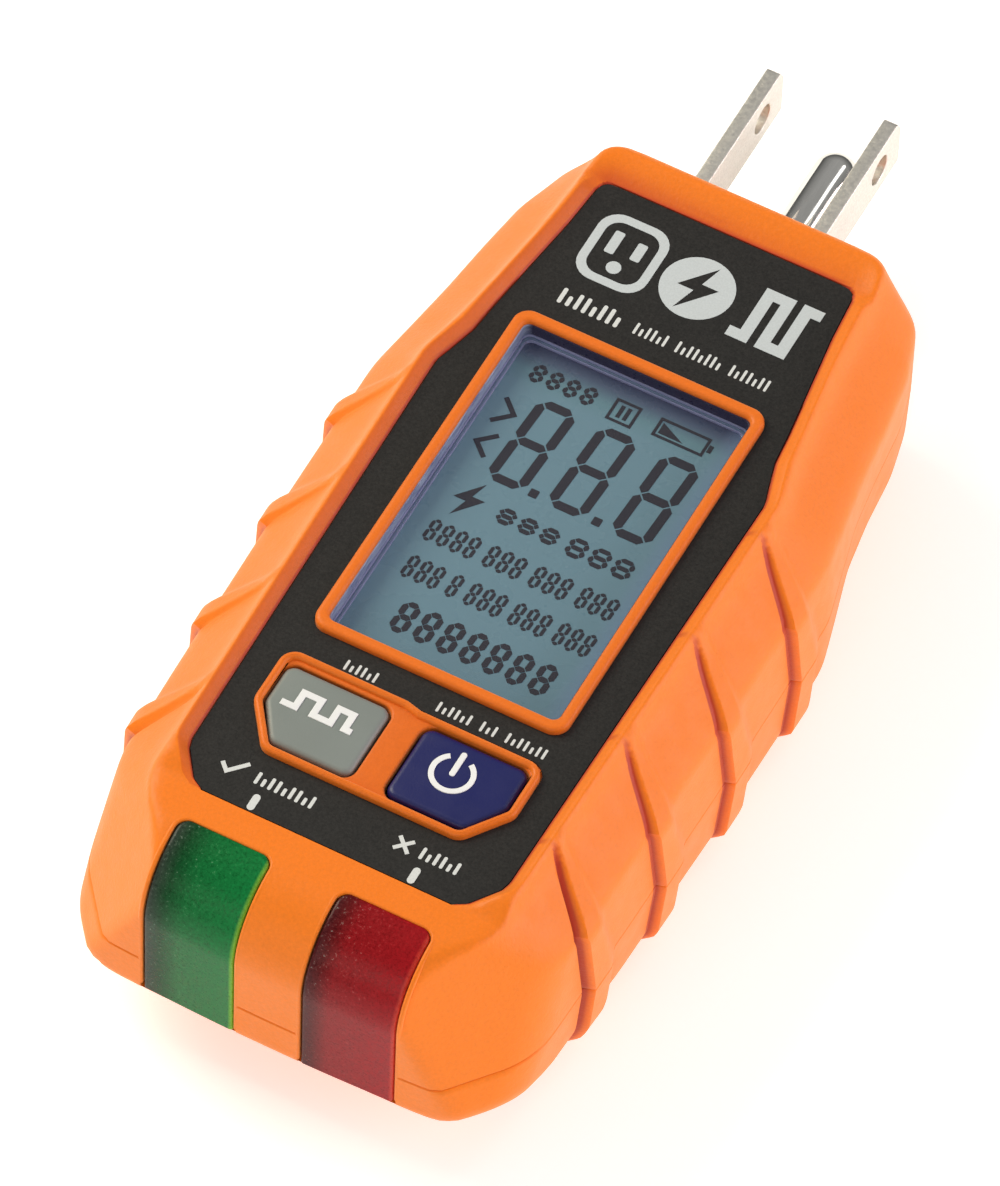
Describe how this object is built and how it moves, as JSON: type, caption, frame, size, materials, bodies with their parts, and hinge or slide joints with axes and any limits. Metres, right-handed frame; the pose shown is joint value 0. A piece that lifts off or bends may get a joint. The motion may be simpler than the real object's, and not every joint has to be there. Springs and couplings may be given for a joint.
{
  "type": "outlet tester plug",
  "caption": "Handheld outlet tester with a grounded plug, a display, two push buttons, two indicator lenses and a sliding battery door.",
  "frame": {"origin": "middle of the bounding box's footprint, on the plane of the case's back", "axes": "+Z out of the front face, +Y along the prongs, +X to the right when the front is seen with the prongs up"},
  "size_m": [0.0516, 0.1177, 0.0271],
  "materials": {
    "case_plastic": "fine moulded texture",
    "overlay": "satin printed film",
    "clear_plastic": "clear polycarbonate",
    "display_glass": "reflective liquid-crystal cell",
    "white_plastic": "satin",
    "black_plastic": "satin",
    "contact_rubber": "silicone",
    "grey_plastic": "satin moulded",
    "blue_plastic": "satin moulded",
    "green_lens": "translucent, faceted inside",
    "red_lens": "translucent, faceted inside",
    "green_lamp": "clear tinted resin",
    "red_lamp": "clear tinted resin",
    "board": "solder mask",
    "plated_blade": "nickel plated, tumbled",
    "plated_pin": "bright nickel",
    "lead_insulation": "vinyl insulation",
    "cell_jacket": "printed sleeve",
    "contact_metal": "nickel plated spring steel",
    "screw_steel": "zinc plated"
  },
  "bodies": {
    "case": {"front_shell": "case_plastic", "rear_shell": "case_plastic", "overlay_label": "overlay", "display_window": "clear_plastic", "display_glass": "display_glass", "display_backlight": "white_plastic", "display_holder": "black_plastic", "upper_contact_strip": "contact_rubber", "lower_contact_strip": "contact_rubber", "test_switch_body": "black_plastic", "power_switch_body": "black_plastic", "green_lens": "green_lens", "red_lens": "red_lens", "green_lamp": "green_lamp", "red_lamp": "red_lamp", "main_board": "board", "controller_chip": "black_plastic", "load_resistors": "black_plastic", "surge_disc": "blue_plastic", "dropper_capacitor": "white_plastic", "neutral_blade": "plated_blade", "hot_blade": "plated_blade", "ground_pin": "plated_pin", "prong_carrier": "black_plastic", "neutral_lead": "lead_insulation", "hot_lead": "lead_insulation", "ground_lead": "lead_insulation", "left_cell": "cell_jacket", "right_cell": "cell_jacket", "bridge_contact": "contact_metal", "left_end_contact": "contact_metal", "right_end_contact": "contact_metal", "battery_springs": "contact_metal", "board_screws": "screw_steel", "case_screws": "screw_steel"},
    "test_button": {"test_button": "grey_plastic", "test_switch_plunger": "white_plastic"},
    "power_button": {"power_button": "blue_plastic", "power_switch_plunger": "white_plastic"},
    "battery_door": {"battery_door": "case_plastic"}
  },
  "joints": [
    {"name": "test_press", "type": "slide", "parent": "case", "child": "test_button", "axis": [0, 0, -1], "range_m": [0, 0.0006], "stiffness_N_per_m": 1500, "springref_m": -0.0004},
    {"name": "power_press", "type": "slide", "parent": "case", "child": "power_button", "axis": [0, 0, -1], "range_m": [0, 0.0006], "stiffness_N_per_m": 1500, "springref_m": -0.0004},
    {"name": "door_slide", "type": "slide", "parent": "case", "child": "battery_door", "axis": [0, -1, 0], "range_m": [0, 0.04]}
  ]
}
